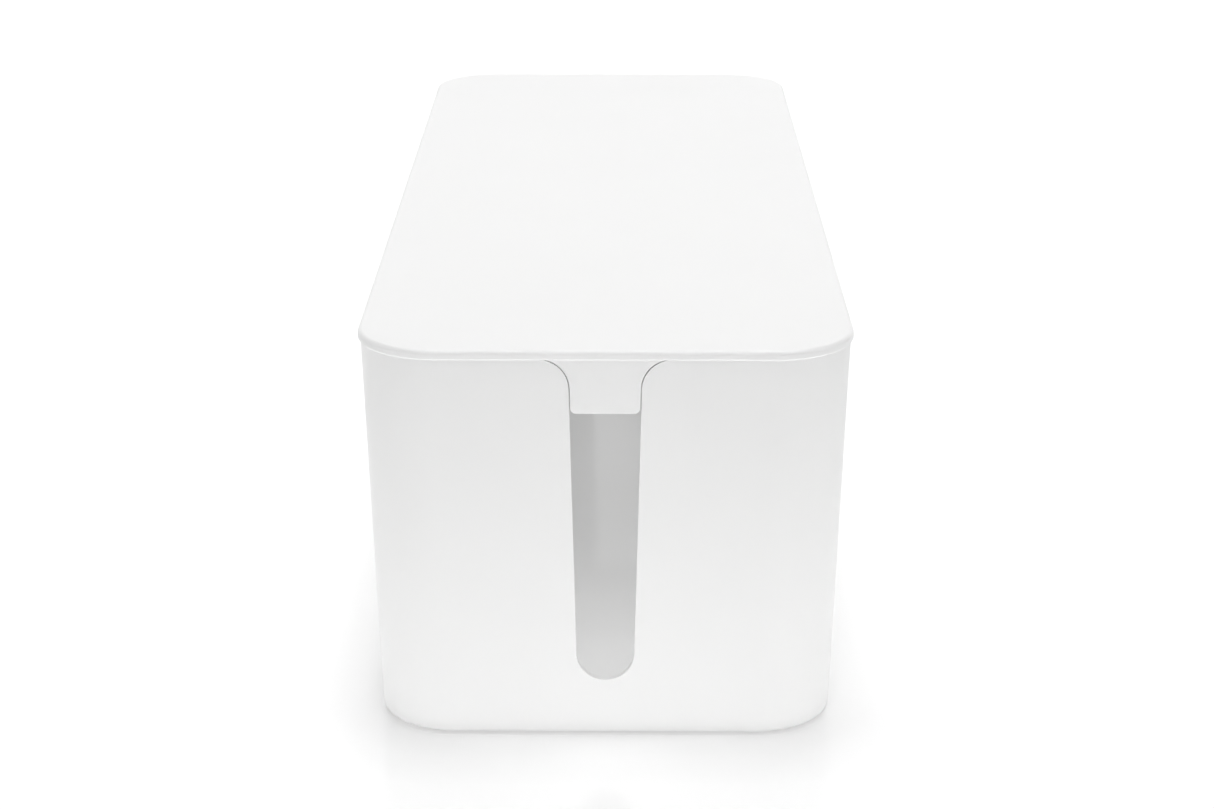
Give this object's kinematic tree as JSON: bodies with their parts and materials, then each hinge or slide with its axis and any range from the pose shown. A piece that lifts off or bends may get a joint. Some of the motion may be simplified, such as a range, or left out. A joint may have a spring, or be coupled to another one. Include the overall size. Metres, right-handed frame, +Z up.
{
  "type": "cable management box",
  "caption": "Lidded plastic box that hides a power strip and its cables, with a cable slot in each end wall.",
  "frame": {"origin": "on the surface that the feet stand on, under the middle of the box", "axes": "+Z up; Y runs along the box, with the cable slots in the end walls at -Y (front) and +Y (rear); +X is to the right seen from the front"},
  "size_m": [0.157, 0.407, 0.1335],
  "materials": {
    "tub_plastic": "white ABS, fine satin texture",
    "lid_plastic": "white ABS, smooth satin",
    "foot_rubber": "matte grey elastomer",
    "adhesive_film": "clear acrylic film"
  },
  "bodies": {
    "tub": {"tub": "tub_plastic", "rubber_foot_front_left": "foot_rubber", "rubber_foot_front_right": "foot_rubber", "rubber_foot_rear_left": "foot_rubber", "rubber_foot_rear_right": "foot_rubber", "adhesive_disc_front_left": "adhesive_film", "adhesive_disc_front_right": "adhesive_film", "adhesive_disc_rear_left": "adhesive_film", "adhesive_disc_rear_right": "adhesive_film"},
    "lid": {"lid": "lid_plastic"}
  },
  "joints": [
    {"name": "lid_lift", "type": "slide", "parent": "tub", "child": "lid", "axis": [0, 0, 1], "range_m": [0, 0.15]}
  ]
}
